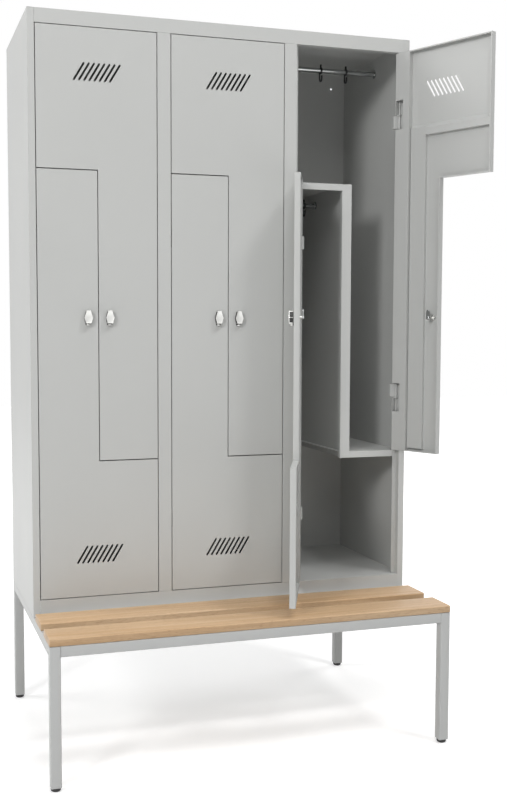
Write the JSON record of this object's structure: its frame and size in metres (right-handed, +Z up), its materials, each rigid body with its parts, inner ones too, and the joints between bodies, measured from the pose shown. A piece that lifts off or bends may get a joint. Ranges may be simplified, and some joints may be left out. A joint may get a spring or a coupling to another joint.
{
  "type": "locker with bench",
  "caption": "Steel changing-room locker with interlocking L-shaped doors over divided compartments, on a tube frame that carries a slatted wooden bench.",
  "frame": {"origin": "middle of the bounding box on the floor, with the right column's doors open as at rest", "axes": "+X to the right along the front, +Y to the back, +Z up"},
  "size_m": [1.3174, 0.8186, 2.1553],
  "materials": {
    "cabinet_paint": "light grey powder coat, satin",
    "door_paint": "light grey powder coat, satin",
    "frame_paint": "light grey powder coat, satin",
    "beech": "clear lacquered beech with fine grain along the slat",
    "chrome": "bright plating",
    "lock_metal": "satin nickel plated die casting",
    "black_plastic": "matte moulded"
  },
  "bodies": {
    "cabinet": {"side_panel_left": "cabinet_paint", "side_panel_right": "cabinet_paint", "partition_1": "cabinet_paint", "partition_2": "cabinet_paint", "top_panel": "cabinet_paint", "bottom_panel": "cabinet_paint", "back_panel": "cabinet_paint", "z_divider_1": "cabinet_paint", "upper_rail_1": "chrome", "lower_rail_1": "chrome", "z_divider_2": "cabinet_paint", "upper_rail_2": "chrome", "lower_rail_2": "chrome", "z_divider_3": "cabinet_paint", "upper_rail_3": "chrome", "lower_rail_3": "chrome", "side_frame_left": "frame_paint", "side_frame_right": "frame_paint", "front_tube": "frame_paint", "middle_tube": "frame_paint", "rear_tube": "frame_paint", "seat_slat_front": "beech", "seat_slat_rear": "beech", "foot_front_left": "black_plastic", "foot_front_right": "black_plastic", "foot_rear_left": "black_plastic", "foot_rear_right": "black_plastic"},
    "upper_door_body_1": {"upper_door_1": "door_paint", "lock_base_upper_1": "lock_metal"},
    "upper_lock_body_1": {"knob_upper_1": "lock_metal", "cam_upper_1": "chrome"},
    "lower_door_body_1": {"lower_door_1": "door_paint", "lock_base_lower_1": "lock_metal"},
    "lower_lock_body_1": {"knob_lower_1": "lock_metal", "cam_lower_1": "chrome"},
    "upper_door_body_2": {"upper_door_2": "door_paint", "lock_base_upper_2": "lock_metal"},
    "upper_lock_body_2": {"knob_upper_2": "lock_metal", "cam_upper_2": "chrome"},
    "lower_door_body_2": {"lower_door_2": "door_paint", "lock_base_lower_2": "lock_metal"},
    "lower_lock_body_2": {"knob_lower_2": "lock_metal", "cam_lower_2": "chrome"},
    "upper_door_body_3": {"upper_door_3": "door_paint", "lock_base_upper_3": "lock_metal"},
    "upper_lock_body_3": {"knob_upper_3": "lock_metal", "cam_upper_3": "chrome"},
    "lower_door_body_3": {"lower_door_3": "door_paint", "lock_base_lower_3": "lock_metal"},
    "lower_lock_body_3": {"knob_lower_3": "lock_metal", "cam_lower_3": "chrome"},
    "upper_hook_1_1_body": {"upper_hook_1_1": "black_plastic"},
    "upper_hook_1_2_body": {"upper_hook_1_2": "black_plastic"},
    "lower_hook_1_body": {"lower_hook_1": "black_plastic"},
    "upper_hook_2_1_body": {"upper_hook_2_1": "black_plastic"},
    "upper_hook_2_2_body": {"upper_hook_2_2": "black_plastic"},
    "lower_hook_2_body": {"lower_hook_2": "black_plastic"},
    "upper_hook_3_1_body": {"upper_hook_3_1": "black_plastic"},
    "upper_hook_3_2_body": {"upper_hook_3_2": "black_plastic"},
    "lower_hook_3_body": {"lower_hook_3": "black_plastic"}
  },
  "joints": [
    {"name": "upper_door_hinge_1", "type": "hinge", "parent": "cabinet", "child": "upper_door_body_1", "pos_m": [-0.28766, -0.08567, 1.2823], "axis": [0, 0, 1], "range_deg": [0, 118]},
    {"name": "upper_lock_turn_1", "type": "hinge", "parent": "upper_door_body_1", "child": "upper_lock_body_1", "pos_m": [-0.42666, -0.09067, 1.2823], "axis": [0, -1, 0], "range_deg": [0, 90]},
    {"name": "lower_door_hinge_1", "type": "hinge", "parent": "cabinet", "child": "lower_door_body_1", "pos_m": [-0.62966, -0.08567, 1.2823], "axis": [0, 0, 1], "range_deg": [-118, 0]},
    {"name": "lower_lock_turn_1", "type": "hinge", "parent": "lower_door_body_1", "child": "lower_lock_body_1", "pos_m": [-0.49066, -0.09067, 1.2823], "axis": [0, 1, 0], "range_deg": [0, 90]},
    {"name": "upper_door_hinge_2", "type": "hinge", "parent": "cabinet", "child": "upper_door_body_2", "pos_m": [0.11234, -0.08567, 1.2823], "axis": [0, 0, 1], "range_deg": [0, 60]},
    {"name": "upper_lock_turn_2", "type": "hinge", "parent": "upper_door_body_2", "child": "upper_lock_body_2", "pos_m": [-0.02666, -0.09067, 1.2823], "axis": [0, -1, 0], "range_deg": [0, 90]},
    {"name": "lower_door_hinge_2", "type": "hinge", "parent": "cabinet", "child": "lower_door_body_2", "pos_m": [-0.22966, -0.08567, 1.2823], "axis": [0, 0, 1], "range_deg": [-118, 0]},
    {"name": "lower_lock_turn_2", "type": "hinge", "parent": "lower_door_body_2", "child": "lower_lock_body_2", "pos_m": [-0.09066, -0.09067, 1.2823], "axis": [0, 1, 0], "range_deg": [0, 90]},
    {"name": "upper_door_hinge_3", "type": "hinge", "parent": "cabinet", "child": "upper_door_body_3", "pos_m": [0.51234, -0.08567, 1.2823], "axis": [0, 0, 1], "range_deg": [-114, 4]},
    {"name": "upper_lock_turn_3", "type": "hinge", "parent": "upper_door_body_3", "child": "upper_lock_body_3", "pos_m": [0.57345, -0.21062, 1.2823], "axis": [0.9135, 0.4067, 0], "range_deg": [0, 90]},
    {"name": "lower_door_hinge_3", "type": "hinge", "parent": "cabinet", "child": "lower_door_body_3", "pos_m": [0.17034, -0.08567, 1.2823], "axis": [0, 0, 1], "range_deg": [-4, 114]},
    {"name": "lower_lock_turn_3", "type": "hinge", "parent": "lower_door_body_3", "child": "lower_lock_body_3", "pos_m": [0.10924, -0.21062, 1.2823], "axis": [0.9135, -0.4067, 0], "range_deg": [0, 90]},
    {"name": "upper_hook_1_1_slide", "type": "slide", "parent": "cabinet", "child": "upper_hook_1_1_body", "axis": [1, 0, 0], "range_m": [-0.19, 0.035]},
    {"name": "upper_hook_1_2_slide", "type": "slide", "parent": "cabinet", "child": "upper_hook_1_2_body", "axis": [1, 0, 0], "range_m": [-0.035, 0.1]},
    {"name": "lower_hook_1_slide", "type": "slide", "parent": "cabinet", "child": "lower_hook_1_body", "axis": [1, 0, 0], "range_m": [-0.149, 0.033]},
    {"name": "upper_hook_2_1_slide", "type": "slide", "parent": "cabinet", "child": "upper_hook_2_1_body", "axis": [1, 0, 0], "range_m": [-0.19, 0.035]},
    {"name": "upper_hook_2_2_slide", "type": "slide", "parent": "cabinet", "child": "upper_hook_2_2_body", "axis": [1, 0, 0], "range_m": [-0.035, 0.1]},
    {"name": "lower_hook_2_slide", "type": "slide", "parent": "cabinet", "child": "lower_hook_2_body", "axis": [1, 0, 0], "range_m": [-0.149, 0.033]},
    {"name": "upper_hook_3_1_slide", "type": "slide", "parent": "cabinet", "child": "upper_hook_3_1_body", "axis": [1, 0, 0], "range_m": [-0.19, 0.035]},
    {"name": "upper_hook_3_2_slide", "type": "slide", "parent": "cabinet", "child": "upper_hook_3_2_body", "axis": [1, 0, 0], "range_m": [-0.035, 0.1]},
    {"name": "lower_hook_3_slide", "type": "slide", "parent": "cabinet", "child": "lower_hook_3_body", "axis": [1, 0, 0], "range_m": [-0.149, 0.033]}
  ]
}
